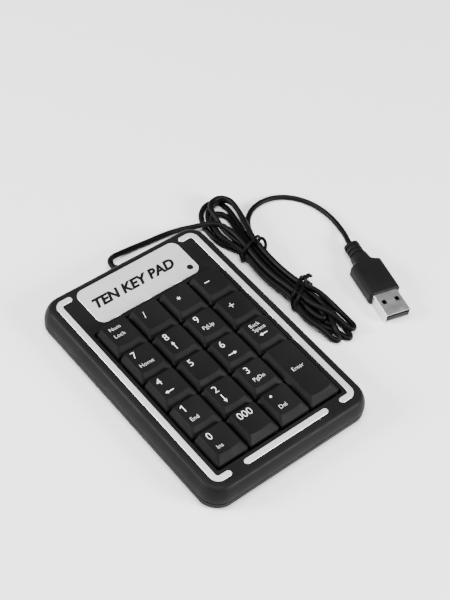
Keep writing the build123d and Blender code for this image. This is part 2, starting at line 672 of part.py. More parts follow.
with BuildPart() as usb_grip:
    with BuildSketch(PLUG):
        Circle(2.9)
    extrude(amount=RELIEF_LENGTH)
    for i in range(3):
        with BuildSketch(PLUG.offset(i * RIB_PITCH)):
                Ellipse(3.7, 3.3)
        extrude(amount=RIB)
    for near, far in zip(SHOULDER, SHOULDER[1:]):
        for distance, width, height, corner in (near, far):
            with BuildSketch(PLUG.offset(distance)):
                RectangleRounded(width, height, corner)
        loft(ruled=True)
    body_start, body_width, body_height, body_corner = SHOULDER[-1]
    with BuildSketch(PLUG.offset(body_start)):
        RectangleRounded(body_width, body_height, body_corner)
    extrude(amount=GRIP_END - body_start)
    front_face = usb_grip.faces().sort_by(lambda f: (f.center() - Vector(*PLUG_START)).dot(PLUG.z_dir))[-1]
    fillet(front_face.edges(), radius=0.6)
    with BuildSketch(PLUG.offset(GRIP_END - SHELL_BURIED)):
        RectangleRounded(SHELL_W, SHELL_H, 0.6)
    extrude(amount=SHELL_BURIED, mode=Mode.SUBTRACT)
finish(usb_grip, "usb_grip")

with BuildPart() as usb_shell:
    with BuildSketch(PLUG.offset(GRIP_END - SHELL_BURIED)):
        RectangleRounded(SHELL_W, SHELL_H, 0.6)
        RectangleRounded(SHELL_W - 2 * SHELL_WALL, SHELL_H - 2 * SHELL_WALL, 0.3, mode=Mode.SUBTRACT)
    extrude(amount=SHELL_TIP - GRIP_END + SHELL_BURIED)
    # latch holes, two above and two below
    hole_row = PLUG.offset(SHELL_TIP - 7.2)
    with BuildSketch(Plane(hole_row.origin + Vector(0, 0, 5), x_dir=hole_row.x_dir, z_dir=(0, 0, -1))):
        with Locations((-3.1, 0), (3.1, 0)):
            Rectangle(2.0, 2.3)
    extrude(amount=10, mode=Mode.SUBTRACT)
finish(usb_shell, "usb_shell")

TONGUE_START, TONGUE_END = GRIP_END - SHELL_BURIED, SHELL_TIP - 0.5
with BuildPart() as usb_tongue:
    with BuildSketch(PLUG.offset(TONGUE_START)):
        with Locations((0, -0.97)):
            RectangleRounded(SHELL_W - 2 * SHELL_WALL - 0.1, 1.85, 0.35)
    extrude(amount=TONGUE_END - TONGUE_START)
finish(usb_tongue, "usb_tongue")

with BuildPart() as usb_contacts:
    for x, setback in ((-3.5, 1.2), (-1.0, 2.2), (1.0, 2.2), (3.5, 1.2)):
        with BuildSketch(PLUG.offset(TONGUE_START)):
            with Locations((x, -0.045 + 0.06)):
                Rectangle(1.0, 0.12)
        extrude(amount=TONGUE_END - TONGUE_START - setback)
finish(usb_contacts, "usb_contacts")
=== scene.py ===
import math

import bmesh
import bpy
from mathutils import Matrix, Vector


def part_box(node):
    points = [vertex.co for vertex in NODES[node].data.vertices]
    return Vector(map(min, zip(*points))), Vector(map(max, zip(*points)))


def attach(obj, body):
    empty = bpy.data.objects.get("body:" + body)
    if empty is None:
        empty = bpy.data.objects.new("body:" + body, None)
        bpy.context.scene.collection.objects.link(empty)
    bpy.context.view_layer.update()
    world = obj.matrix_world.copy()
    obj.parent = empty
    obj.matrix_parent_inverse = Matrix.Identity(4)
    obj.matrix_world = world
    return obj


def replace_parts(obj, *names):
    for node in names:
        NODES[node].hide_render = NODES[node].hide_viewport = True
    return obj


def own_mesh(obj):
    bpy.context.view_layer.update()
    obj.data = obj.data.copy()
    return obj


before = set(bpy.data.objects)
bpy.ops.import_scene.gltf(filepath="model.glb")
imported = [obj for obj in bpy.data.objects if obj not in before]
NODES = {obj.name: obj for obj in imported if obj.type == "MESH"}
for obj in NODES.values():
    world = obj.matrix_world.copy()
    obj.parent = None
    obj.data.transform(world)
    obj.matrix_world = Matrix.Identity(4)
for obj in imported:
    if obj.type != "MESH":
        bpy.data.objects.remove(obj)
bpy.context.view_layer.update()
MM = 0.001

# ---------------------------------------------------------------- camera
LENS_MM, SENSOR_MM = 87.0, 36.0
NEAR_CLIP = 0.01
CAMERA_PLACE = (-0.25812, -0.25882, 0.47976)
# the camera's own axes in the row frame:
CAMERA_RIGHT = (0.77037, -0.63058, 0.09437)
CAMERA_UP = (0.44022, 0.6331, 0.6367)
CAMERA_BACK = (-0.46123, -0.44895, 0.76531)


def make_camera():
    data = bpy.data.cameras.new("camera")
    data.lens = LENS_MM
    data.sensor_width = SENSOR_MM
    data.clip_start = NEAR_CLIP
    camera = bpy.data.objects.new("camera", data)
    turn = Matrix((CAMERA_RIGHT, CAMERA_UP, CAMERA_BACK)).transposed().to_4x4()
    camera.matrix_world = Matrix.Translation(CAMERA_PLACE) @ turn
    bpy.context.scene.collection.objects.link(camera)
    bpy.context.scene.camera = camera


make_camera()


# ---------------------------------------------------------------- curves and meshes
def link(piece, body="housing"):
    """Puts a piece in the scene and lets it ride on that body."""
    bpy.context.scene.collection.objects.link(piece)
    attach(piece, body)
    return piece


def spline_piece(name, points, radius):
    """A round wire or cord along one NURBS spline. Points are in millimetres.

    The bevel is 1 m and each point's radius scales it down, which keeps the object's bounding box tight.
    """
    data = bpy.data.curves.new(name, "CURVE")
    data.dimensions = "3D"
    data.resolution_u = 12
    data.bevel_depth = 1.0
    data.bevel_resolution = 5
    data.use_fill_caps = True
    spline = data.splines.new("NURBS")
    spline.points.add(len(points) - 1)
    for point, place in zip(spline.points, points):
        point.co = (place[0] * MM, place[1] * MM, place[2] * MM, 1.0)
        point.radius = radius * MM
    spline.order_u = 3
    spline.use_endpoint_u = True
    return link(bpy.data.objects.new(name, data))


# ---------------------------------------------------------------- the cord
CORD_D = 2.5
FLOOR_Z = 1.27  # centre line of cord that lies on the surface
EXIT = (0.0, 61.2, 4.8)
PLUG_START = (95.45, 12.35, 3.75)

CORD_BACK_ROUTE = [
    EXIT,
    (0, 63.6, 4.8),
    (1.1, 66.1, 4.3),
    (3.9, 67.8, 3.3),
    (8.4, 68.5, 2.0),
    (15.2, 68.3, 1.4),
    (24.0, 67.4, FLOOR_Z),
    (33.0, 66.6, FLOOR_Z),
    (40.4, 64.9, FLOOR_Z),
    (45.0, 62.0, 2.6),
    (48.5, 59.0, 4.8),
    (51.3, 56.0, 6.5),
    (53.6, 52.2, 6.7),
    (54.6, 47.6, 6.6),
    (54.8, 43.4, 6.6),
]
CORD_FREE_ROUTE = [
    (64.0, 44.4, 1.4),
    (66.2, 49.4, FLOOR_Z),
    (70.2, 54.2, FLOOR_Z),
    (76.4, 57.3, FLOOR_Z),
    (84.6, 57.5, FLOOR_Z),
    (92.0, 54.2, FLOOR_Z),
    (97.8, 47.8, FLOOR_Z),
    (101.1, 39.3, FLOOR_Z),
    (101.5, 30.4, FLOOR_Z),
    (100.0, 23.0, 1.6),
    (97.9, 18.5, 3.1),
    (96.16, 15.16, 3.75),
    PLUG_START,
]

# The hank: each turn runs down the bundle, folds back at the front and comes up again beside itself.
# The middle of the bundle at its two ties and half-way between them:
TIE_UPPER, BUNDLE_MIDDLE, TIE_LOWER = (58.2, 37.4), (57.2, 21.0), (58.6, 6.0)
TIE_LIFT = 0.7  # the ties hold the bundle this far off the floor
SLACK = 1.12  # between the ties, the strands spread by this factor
# where each turn's strands lie in the bundle, across and up:
DOWN_SLOTS = [(-3.9, 6.1), (-2.6, 3.7), (-5.2, 3.7), (-1.3, 1.4), (-4.0, 1.4)]
UP_SLOTS = [(1.3, 6.1), (0.0, 3.7), (2.6, 3.7), (1.3, 1.4), (4.0, 1.4)]
LOWER_FOLDS = [
    [
        (55.9, 0.5, 6.2),
        (57.2, -5.5, 6.2),
        (59.6, -11.5, 6.5),
        (61.4, -16.0, 5.3),
        (62.2, -20.0, 4.0),
        (63.2, -23.3, 3.6),
        (65.9, -22.6, 3.0),
        (66.3, -18.0, 2.6),
        (66.3, -12.0, 2.7),
        (66.1, -6.0, 3.2),
        (63.9, 0.8, 5.9),
    ],
    [
        (55.9, 0.5, 3.6),
        (55.5, -5.0, 3.4),
        (55.8, -9.6, 3.6),
        (56.8, -11.6, 3.6),
        (58.7, -11.2, 3.6),
        (59.2, -8.2, 3.6),
        (59.2, -3.5, 3.6),
        (58.8, 1.0, 3.7),
    ],
    [
        (52.5, 0.5, 3.6),
        (51.6, -5.0, 3.2),
        (52.0, -10.5, 3.2),
        (53.4, -15.5, 3.0),
        (53.9, -19.5, 2.3),
        (54.5, -23.2, 1.6),
        (56.9, -23.2, 2.0),
        (57.3, -19.6, 3.9),
        (58.6, -16.0, 3.9),
        (60.6, -12.4, 3.9),
        (62.2, -8.0, 3.4),
        (62.4, -2.5, 3.6),
        (61.8, 1.5, 3.7),
    ],
    [
        (57.4, 0.2, 1.4),
        (57.5, -5.4, 1.4),
        (57.9, -10.4, 1.4),
        (58.6, -14.8, 1.4),
        (60.9, -15.2, 1.4),
        (61.4, -11.0, 1.4),
        (60.9, -5.4, 1.4),
        (60.4, 0.4, 1.4),
    ],
    [
        (54.0, -0.5, 1.4),
        (53.6, -6.5, 1.4),
        (54.6, -12.0, 1.4),
        (56.8, -16.6, 1.4),
        (59.0, -20.4, 1.4),
        (59.5, -24.8, 1.4),
        (62.0, -25.0, 1.4),
        (62.7, -20.6, 1.4),
        (63.7, -15.0, 1.4),
        (64.4, -9.0, 1.4),
        (64.6, -3.0, 1.4),
        (63.6, 1.5, 1.4),
    ],
]
UPPER_FOLDS = [
    [
        (61.8, 45.0, 6.5),
        (64.2, 52.0, 6.5),
        (65.8, 58.4, 6.5),
        (66.2, 63.4, 6.5),
        (63.8, 67.2, 6.1),
        (59.4, 67.4, 6.1),
        (56.0, 65.0, 6.5),
        (54.6, 60.8, 6.5),
        (54.2, 55.6, 4.5),
        (54.0, 50.6, 3.9),
        (54.6, 45.0, 3.7),
    ],
    [
        (59.0, 45.0, 3.0),
        (60.4, 51.5, 1.7),
        (62.2, 57.5, 1.5),
        (61.2, 61.6, 1.6),
        (57.6, 63.2, 2.5),
        (54.2, 61.2, 3.5),
        (52.2, 57.2, 3.9),
        (50.8, 53.0, 3.9),
        (50.3, 48.4, 3.9),
        (51.6, 43.4, 3.9),
    ],
    [
        (62.9, 44.5, 3.9),
        (65.4, 51.5, 3.9),
        (67.3, 58.5, 3.9),
        (67.7, 63.8, 3.9),
        (65.0, 67.2, 3.9),
        (60.4, 67.4, 3.4),
        (55.4, 65.6, 1.8),
        (52.8, 60.4, 1.4),
        (51.6, 54.0, 1.4),
        (51.9, 47.5, 1.4),
        (54.4, 42.7, 1.4),
    ],
    [
        (61.2, 45.0, 1.4),
        (63.2, 52.0, 1.4),
        (64.7, 58.5, 1.4),
        (65.6, 64.4, 1.4),
        (63.6, 69.4, 1.4),
        (58.4, 70.4, 1.4),
        (53.0, 67.4, 1.4),
        (49.8, 61.8, 1.4),
        (48.6, 55.4, 1.4),
        (49.0, 48.8, 1.4),
        (51.6, 43.0, 1.4),
    ],
]


def in_bundle(middle, slot, spread=1.0, lift=0.0):
    """The place of a slot where the bundle's middle is there, with the strands spread and lifted."""
    return (middle[0] + slot[0] * spread, middle[1], slot[1] + lift)


def hank_points():
    """The turns of the hank, one after the other."""
    points = []
    for turn, lower in enumerate(LOWER_FOLDS):
        down, up = DOWN_SLOTS[turn], UP_SLOTS[turn]
        points.append(in_bundle(TIE_UPPER, down, lift=TIE_LIFT))
        points.append(in_bundle(BUNDLE_MIDDLE, down, spread=SLACK))
        points.append(in_bundle(TIE_LOWER, down, lift=TIE_LIFT))
        points += lower
        points.append(in_bundle(TIE_LOWER, up, lift=TIE_LIFT))
        points.append(in_bundle(BUNDLE_MIDDLE, up, spread=SLACK))
        points.append(in_bundle(TIE_UPPER, up, lift=TIE_LIFT))
        if turn < len(UPPER_FOLDS):
            points += UPPER_FOLDS[turn]
    return points


cord = spline_piece("cord", CORD_BACK_ROUTE + hank_points() + CORD_FREE_ROUTE, CORD_D / 2)
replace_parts(cord, "cord_tube_back", "cord_hank", "cord_tube_free")


# ---------------------------------------------------------------- materials
def shader(name, color, roughness, metallic=0.0, **sockets):
    """A Principled material with plain socket values; further sockets are given by keyword."""
    material = bpy.data.materials.new(name)
    material.use_nodes = True
    principled = material.node_tree.nodes["Principled BSDF"]
    principled.inputs["Base Color"].default_value = (*color, 1.0)
    principled.inputs["Roughness"].default_value = roughness
    principled.inputs["Metallic"].default_value = metallic
    for socket, value in sockets.items():
        principled.inputs[socket.replace("_", " ")].default_value = value
    return material, principled


def noise(material, scale, detail=3.0, stretch=None):
    """A 3-D noise over the object's own coordinates, in metres. stretch scales the axes."""
    tree = material.node_tree
    place = tree.nodes.new("ShaderNodeTexCoord")
    texture = tree.nodes.new("ShaderNodeTexNoise")
    texture.inputs["Scale"].default_value = scale
    texture.inputs["Detail"].default_value = detail
    if stretch:
        mapping = tree.nodes.new("ShaderNodeMapping")
        mapping.inputs["Scale"].default_value = stretch
        tree.links.new(place.outputs["Object"], mapping.inputs["Vector"])
        tree.links.new(mapping.outputs["Vector"], texture.inputs["Vector"])
    else:
        tree.links.new(place.outputs["Object"], texture.inputs["Vector"])
    return texture.outputs["Fac"]


def ramp(material, factor, low, high, start=0.35, end=0.65):
    """Colours from low to high as the factor goes from start to end."""
    node = material.node_tree.nodes.new("ShaderNodeValToRGB")
    node.color_ramp.elements[0].position = start
    node.color_ramp.elements[1].position = end
    node.color_ramp.elements[0].color = (*low, 1.0)
    node.color_ramp.elements[1].color = (*high, 1.0)
    material.node_tree.links.new(factor, node.inputs["Fac"])
    return node.outputs["Color"]


def spread_value(material, factor, low, high):
    """A number from low to high as a noise factor goes through its middle range."""
    node = material.node_tree.nodes.new("ShaderNodeMapRange")
    node.inputs["From Min"].default_value = 0.3
    node.inputs["From Max"].default_value = 0.7
    node.inputs["To Min"].default_value = low
    node.inputs["To Max"].default_value = high
    material.node_tree.links.new(factor, node.inputs["Value"])
    return node.outputs["Result"]


def bump(material, principled, height, depth_mm, strength=0.5, rounding_mm=0.0):
    """Bump from a height; rounding_mm also softens the shading of sharp edges."""
    tree = material.node_tree
    node = tree.nodes.new("ShaderNodeBump")
    node.inputs["Strength"].default_value = strength
    node.inputs["Distance"].default_value = depth_mm * MM
    tree.links.new(height, node.inputs["Height"])
    if rounding_mm:
        bevel = tree.nodes.new("ShaderNodeBevel")
        bevel.samples = 6
        bevel.inputs["Radius"].default_value = rounding_mm * MM
        tree.links.new(bevel.outputs["Normal"], node.inputs["Normal"])
    tree.links.new(node.outputs["Normal"], principled.inputs["Normal"])


def scaled(color, factor):
    """A colour made darker or lighter by that factor."""
    return tuple(min(1.0, channel * factor) for channel in color)


def moulded(name, color, roughness, grain=2600.0, depth_mm=0.02, rounding_mm=0.0, **sockets):
    """Moulded plastic or rubber: fine grain, faint cloudiness in colour and in gloss."""
    material, principled = shader(name, color, roughness, **sockets)
    links = material.node_tree.links
    cloud = noise(material, 55.0, 4.0)
    shade = ramp(material, cloud, scaled(color, 0.86), scaled(color, 1.14))
    links.new(shade, principled.inputs["Base Color"])
    gloss = spread_value(material, noise(material, 160.0, 5.0), roughness - 0.05, roughness + 0.06)
    links.new(gloss, principled.inputs["Roughness"])
    bump(material, principled, noise(material, grain, 2.0), depth_mm, 0.45, rounding_mm)
    return material


def metal(name, color, roughness, stretch=(1.0, 1.0, 1.0), grain=900.0, contrast=0.12, rounding_mm=0.1):
    """Bare metal with a drawn or rolled grain along the axis that stretch makes long."""
    material, principled = shader(name, color, roughness, metallic=1.0)
    links = material.node_tree.links
    streak = noise(material, grain, 3.0, stretch)
    dark, light = scaled(color, 1.0 - contrast), scaled(color, 1.0 + contrast / 2)
    links.new(ramp(material, streak, dark, light), principled.inputs["Base Color"])
    gloss = spread_value(material, streak, roughness - contrast / 2, roughness + contrast)
    links.new(gloss, principled.inputs["Roughness"])
    bump(material, principled, streak, 0.01, 0.2, rounding_mm)
    return material


def metallic_lacquer(name, color, roughness):
    """Silver lacquer: small flakes that differ in brightness, under a thin clear coat."""
    coat = {"Coat_Weight": 0.25, "Coat_Roughness": 0.3}
    material, principled = shader(name, color, roughness, metallic=0.45, **coat)
    tree = material.node_tree
    place = tree.nodes.new("ShaderNodeTexCoord")
    flakes = tree.nodes.new("ShaderNodeTexVoronoi")
    flakes.inputs["Scale"].default_value = 5200.0
    tree.links.new(place.outputs["Object"], flakes.inputs["Vector"])
    brightness = tree.nodes.new("ShaderNodeSeparateColor")
    tree.links.new(flakes.outputs["Color"], brightness.inputs["Color"])
    flake = brightness.outputs["Red"]
    shade = ramp(material, flake, scaled(color, 0.88), scaled(color, 1.1), 0.0, 1.0)
    tree.links.new(shade, principled.inputs["Base Color"])
    gloss = spread_value(material, noise(material, 120.0, 4.0), roughness - 0.05, roughness + 0.05)
    tree.links.new(gloss, principled.inputs["Roughness"])
    bump(material, principled, flake, 0.006, 0.25, 0.1)
    return material


def circuit_board(name):
    """Green solder mask over tracks that show as paler straight bands."""
    color = (0.012, 0.09, 0.035)
    material, principled = shader(name, color, 0.35)
    tree = material.node_tree
    place = tree.nodes.new("ShaderNodeTexCoord")
    tracks = tree.nodes.new("ShaderNodeTexBrick")
    tracks.inputs["Scale"].default_value = 420.0
    tracks.inputs["Mortar Size"].default_value = 0.03
    tracks.inputs["Color1"].default_value = (*color, 1.0)
    tracks.inputs["Color2"].default_value = (*scaled(color, 1.2), 1.0)
    tracks.inputs["Mortar"].default_value = (*scaled(color, 2.2), 1.0)
    tree.links.new(place.outputs["Object"], tracks.inputs["Vector"])
    tree.links.new(tracks.outputs["Color"], principled.inputs["Base Color"])
    bump(material, principled, tracks.outputs["Fac"], 0.02, 0.3)
    return material


LEADS_HALF_WIDTH = 2.6
LEAD_COLORS = [
    (0.0, (0.45, 0.02, 0.02)),
    (0.32, (0.7, 0.7, 0.68)),
    (0.5, (0.02, 0.25, 0.05)),
    (0.68, (0.02, 0.02, 0.02)),
]


def wire_colours(name):
    """Four leads side by side, red, white, green and black, split by their place across the keypad."""
    material, principled = shader(name, (0.3, 0.05, 0.04), 0.4)
    tree = material.node_tree
    place = tree.nodes.new("ShaderNodeTexCoord")
    split = tree.nodes.new("ShaderNodeSeparateXYZ")
    tree.links.new(place.outputs["Object"], split.inputs["Vector"])
    across = tree.nodes.new("ShaderNodeMapRange")
    across.inputs["From Min"].default_value = -LEADS_HALF_WIDTH * MM
    across.inputs["From Max"].default_value = LEADS_HALF_WIDTH * MM
    tree.links.new(split.outputs["X"], across.inputs["Value"])
    colors = tree.nodes.new("ShaderNodeValToRGB")
    colors.color_ramp.interpolation = "CONSTANT"
    stops = colors.color_ramp.elements
    stops.remove(stops[-1])
    for position, color in LEAD_COLORS:
        stop = stops.new(position) if position else stops[0]
        stop.color = (*color, 1.0)
    tree.links.new(across.outputs["Result"], colors.inputs["Fac"])
    tree.links.new(colors.outputs["Color"], principled.inputs["Base Color"])
    bump(material, principled, noise(material, 1800.0), 0.02, 0.3)
    return material


def black_plastic(name, color, roughness, grain, depth_mm, level):
    """A black with a low specular level, because the floor and the lamps are bright."""
    return moulded(name, color, roughness, grain, depth_mm, Specular_IOR_Level=level)


HOUSING_BLACK = black_plastic("housing_plastic", (0.006, 0.006, 0.0063), 0.46, 2400.0, 0.03, 0.06)
KEY_BLACK = black_plastic("key_plastic", (0.0056, 0.0056, 0.0059), 0.5, 3200.0, 0.02, 0.05)
CORD_BLACK = black_plastic("cord_jacket", (0.0026, 0.0026, 0.0027), 0.44, 1400.0, 0.02, 0.075)
TIE_BLACK = black_plastic("tie_coating", (0.002, 0.002, 0.0021), 0.42, 1500.0, 0.02, 0.06)
GRIP_BLACK = black_plastic("grip_plastic", (0.006, 0.006, 0.0063), 0.48, 2200.0, 0.03, 0.08)
SILVER = metallic_lacquer("silver_lacquer", (0.60, 0.603, 0.615), 0.42)
LENS = black_plastic("lamp_lens", (0.005, 0.006, 0.005), 0.25, 2600.0, 0.01, 0.3)
FOOT_RUBBER = moulded("foot_rubber", (0.02, 0.02, 0.021), 0.75, grain=1800.0, depth_mm=0.04)
DOME_RUBBER = shader("dome_silicone", (0.62, 0.63, 0.6), 0.5, Subsurface_Weight=0.2)[0]
FILM = moulded("polyester_film", (0.6, 0.63, 0.65), 0.22, 600.0, 0.005, Transmission_Weight=0.5)
BOARD_GREEN = circuit_board("solder_mask")
CHIP_BLACK = moulded("chip_epoxy", (0.012, 0.012, 0.012), 0.25, grain=900.0, depth_mm=0.05)
COMPONENT = moulded("component_bodies", (0.36, 0.33, 0.27), 0.4)
NYLON = moulded("connector_nylon", (0.72, 0.71, 0.66), 0.45)
WIRE = wire_colours("lead_insulation")
SCREW_STEEL = metal("zinc_plate", (0.55, 0.56, 0.58), 0.35, grain=700.0)
SPRING_STEEL = metal("spring_wire", (0.6, 0.6, 0.61), 0.28, (1.0, 0.1, 1.0))
PLUG_STEEL = metal("nickel_plate", (0.62, 0.62, 0.63), 0.34, grain=420.0, contrast=0.06, rounding_mm=0.0)
TONGUE_BLACK = black_plastic("tongue_plastic", (0.004, 0.004, 0.004), 0.45, 2600.0, 0.01, 0.2)
CONTACT_GOLD = metal("gold_plate", (0.83, 0.6, 0.25), 0.25)
LEGEND_WHITE = moulded("legend_ink", (0.70, 0.70, 0.70), 0.5, 5000.0, 0.01)
PLATE_INK = black_plastic("plate_ink", (0.005, 0.005, 0.005), 0.5, 5000.0, 0.01, 0.05)

FINISHES = {
    HOUSING_BLACK: ["top_housing", "bottom_housing"],
    SILVER: ["name_plate", "trim_left", "trim_right", "trim_front"],
    LENS: ["num_lock_lens"],
    FOOT_RUBBER: ["rubber_feet"],
    SCREW_STEEL: ["housing_screws", "board_screws"],
    SPRING_STEEL: ["stabilizer_bar"],
    FILM: ["membrane_upper_film", "membrane_spacer", "membrane_lower_film"],
    BOARD_GREEN: ["controller_board"],
    CHIP_BLACK: ["controller_chip"],
    COMPONENT: ["board_components"],
    NYLON: ["cord_connector"],
    WIRE: ["cord_wires"],
    CORD_BLACK: ["cord_gland", "cord_inner_end"],
    GRIP_BLACK: ["usb_grip"],
    PLUG_STEEL: ["usb_shell"],
    TONGUE_BLACK: ["usb_tongue"],
    CONTACT_GOLD: ["usb_contacts"],
    KEY_BLACK: [node for node in NODES if node.startswith("key_")],
}


def finish_piece(piece, material):
    """Gives a piece that one material."""
    piece.data.materials.clear()
    piece.data.materials.append(material)


for material, names in FINISHES.items():
    for name in names:
        finish_piece(NODES[name], material)
finish_piece(cord, CORD_BLACK)


# ---------------------------------------------------------------- rubber domes
MAT_TOP_Z = 3.67  # just above the sheet that joins the domes
WELD = 1e-6  # joins the corners that the imported model's faces don't share, in metres


def half_of(mesh, height, upper):
    """The part of a mesh above or below a height in millimetres, open where it is cut."""
    part = bmesh.new()
    part.from_mesh(mesh)
    bmesh.ops.remove_doubles(part, verts=part.verts, dist=WELD)
    everything = part.verts[:] + part.edges[:] + part.faces[:]
    bmesh.ops.bisect_plane(
        part,
        geom=everything,
        plane_co=(0, 0, height * MM),
        plane_no=(0, 0, 1),
        dist=WELD / 10,
        clear_inner=upper,
        clear_outer=not upper,
    )
    return part


def dome_piece(name, part):
    """A closed piece of rubber from an open part of the moulding."""
    rim = [edge for edge in part.edges if edge.is_boundary]
    bmesh.ops.triangle_fill(part, edges=rim, use_beauty=True)
    mesh = bpy.data.meshes.new(name)
    bmesh.ops.recalc_face_normals(part, faces=part.faces[:])
    part.to_mesh(mesh)
    part.free()
    piece = link(bpy.data.objects.new(name, mesh))
    finish_piece(piece, DOME_RUBBER)
    return piece


def key_dome(key, domes):
    """The dome under one key, out of the moulding's upper half."""
    low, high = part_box(key)
    own = domes.copy()
    outside = []
    for vertex in own.verts:
        if not (low[0] < vertex.co.x < high[0] and low[1] < vertex.co.y < high[1]):
            outside.append(vertex)
    bmesh.ops.delete(own, geom=outside, context="VERTS")
    piece = dome_piece(key.replace("key_", "dome_"), own)
    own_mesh(piece)


def make_domes():
    """The moulding of domes as a flat sheet and one dome under each key."""
    moulding = NODES["rubber_domes"].data.copy()
    moulding.transform(NODES["rubber_domes"].matrix_world)
    sheet = half_of(moulding, MAT_TOP_Z, upper=False)
    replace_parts(dome_piece("dome_sheet", sheet), "rubber_domes")
    domes = half_of(moulding, MAT_TOP_Z, upper=True)
    for key in NODES:
        if key.startswith("key_"):
            key_dome(key, domes)
    domes.free()
    bpy.data.meshes.remove(moulding)


make_domes()

# ---------------------------------------------------------------- printed legends
KEY_PITCH, GRID_Y = 16.0, -8.4
DISH_Z, DISH_R = 15.15, 55.0
INK = 0.03  # the ink stands this far above and below its surface
STRIP, FIRST_CUT = 0.8, 0.37  # width of the strips that let ink follow a dished key, and where they start
CAPITAL_SHARE = 0.73  # a capital's height as a share of the built-in font's size
DIGIT, WORD = 3.5, 2.0
DIGIT_WEIGHT, WORD_WEIGHT, PLATE_WEIGHT, PLATE_SLANT = -0.012, -0.024, 0.065, 0.28


def key_place(column, row):
    """The middle of a key, from its column and row."""
    return ((column - 1.5) * KEY_PITCH, GRID_Y + (2 - row) * KEY_PITCH)


def font_outline(text, height, weight, slant=0.0):
    """The flat outline of a text, centred, with capitals of that height, as a mesh in millimetres."""
    data = bpy.data.curves.new("outline", "FONT")
    data.body = text
    data.size = height / CAPITAL_SHARE
    data.offset = weight * height
    data.shear = slant
    data.resolution_u = 4
    piece = bpy.data.objects.new("outline", data)
    mesh = bpy.data.meshes.new_from_object(piece)
    bpy.data.objects.remove(piece)
    xs = [vertex.co.x for vertex in mesh.vertices]
    ys = [vertex.co.y for vertex in mesh.vertices]
    middle = Vector(((min(xs) + max(xs)) / 2, (min(ys) + max(ys)) / 2, 0.0))
    mesh.transform(Matrix.Translation(-middle))
    return mesh


def flat_outline(corners, angle=0.0):
    """A flat face with these corners, turned by an angle in degrees."""
    mesh = bpy.data.meshes.new("outline")
    mesh.from_pydata([(x, y, 0.0) for x, y in corners], [], [range(len(corners))])
    mesh.transform(Matrix.Rotation(math.radians(angle), 4, "Z"))
    return mesh


def arrow_outline(length, angle):
    """A flat arrow that points along +X before it is turned."""
    shaft, head, half = 0.2, 1.35, 0.78
    back, neck, tip = -length / 2, length / 2 - head, length / 2
    lower = [(back, -shaft), (neck, -shaft), (neck, -half)]
    corners = lower + [(tip, 0)] + [(x, -y) for x, y in reversed(lower)]
    return flat_outline(corners, angle)


def cross_corners(reach, half):
    """The corners of an upright cross, arm after arm."""
    arm = [(half, half), (reach, half), (reach, -half)]
    corners = []
    for quarter in range(4):
        for x, y in arm:
            for _ in range(quarter):
                x, y = y, -x
            corners.append((x, y))
    return corners


def star_corners(arms, reach, waist):
    """The corners of a star, tip and notch in turn."""
    corners = []
    for step in range(2 * arms):
        angle = math.pi * (0.5 + step / arms)
        radius = waist if step % 2 else reach
        corners.append((radius * math.cos(angle), radius * math.sin(angle)))
    return corners


DASH, DASH_HALF = 1.25, 0.19
DOT_R = 0.55
DRAWN_MARKS = {
    "*": star_corners(6, 1.15, 0.3),
    "1": [(0.1, -1.7), (0.5, -1.7), (0.5, 1.75), (0.15, 1.75), (-0.8, 1.05), (-0.8, 0.55), (0.1, 1.15)],
    "+": cross_corners(1.3, 0.15),
    "-": [(-DASH, -DASH_HALF), (DASH, -DASH_HALF), (DASH, DASH_HALF), (-DASH, DASH_HALF)],
    ".": star_corners(6, DOT_R, DOT_R),
}


def mark_outline(mark, size):
    """The outline of a mark: a drawn one, a text of that height or, for an angle, an arrow that long."""
    if mark in DRAWN_MARKS:
        return flat_outline(DRAWN_MARKS[mark])
    if isinstance(mark, str):
        return font_outline(mark, size, WORD_WEIGHT if size < DIGIT else DIGIT_WEIGHT)
    return arrow_outline(size, mark)


def printed(name, outlines, body, height_at, material):
    """Ink on a surface: outlines cut into narrow strips, laid on the surface and given a thickness."""
    ink = bmesh.new()
    for mesh, x, y in outlines:
        mesh.transform(Matrix.Translation((x, y, 0.0)))
        ink.from_mesh(mesh)
        bpy.data.meshes.remove(mesh)
    bmesh.ops.remove_doubles(ink, verts=ink.verts, dist=0.002)
    xs = [vertex.co.x for vertex in ink.verts]
    cut = math.floor(min(xs)) + FIRST_CUT
    while cut < max(xs):
        everything = ink.verts[:] + ink.edges[:] + ink.faces[:]
        bmesh.ops.bisect_plane(ink, geom=everything, plane_co=(cut, 0, 0), plane_no=(1, 0, 0), dist=0.0005)
        cut += STRIP
    grown = bmesh.ops.extrude_face_region(ink, geom=ink.faces[:])
    raised = {element for element in grown["geom"] if isinstance(element, bmesh.types.BMVert)}
    for vertex in ink.verts:
        surface = height_at(vertex.co.x)
        vertex.co.z = surface + (INK if vertex in raised else -INK)
    bmesh.ops.recalc_face_normals(ink, faces=ink.faces[:])
    bmesh.ops.scale(ink, vec=(MM, MM, MM), verts=ink.verts[:])
    mesh = bpy.data.meshes.new(name)
    ink.to_mesh(mesh)
    ink.free()
    mesh.materials.append(material)
    piece = link(bpy.data.objects.new(name, mesh), body)
    return piece


def legend(node, place, marks):
    """Marks are (text or arrow's angle, x, y, size), with x and y from the key's centre."""
    key_x, key_y = key_place(*place)
    outlines = []
    for mark, x, y, size in marks:
        outlines.append((mark_outline(mark, size), key_x + x, key_y + y))

    def dish(x):
        return DISH_Z + DISH_R - math.sqrt(DISH_R**2 - (x - key_x) ** 2)

    printed(node.replace("key_", "legend_"), outlines, node, dish, LEGEND_WHITE)


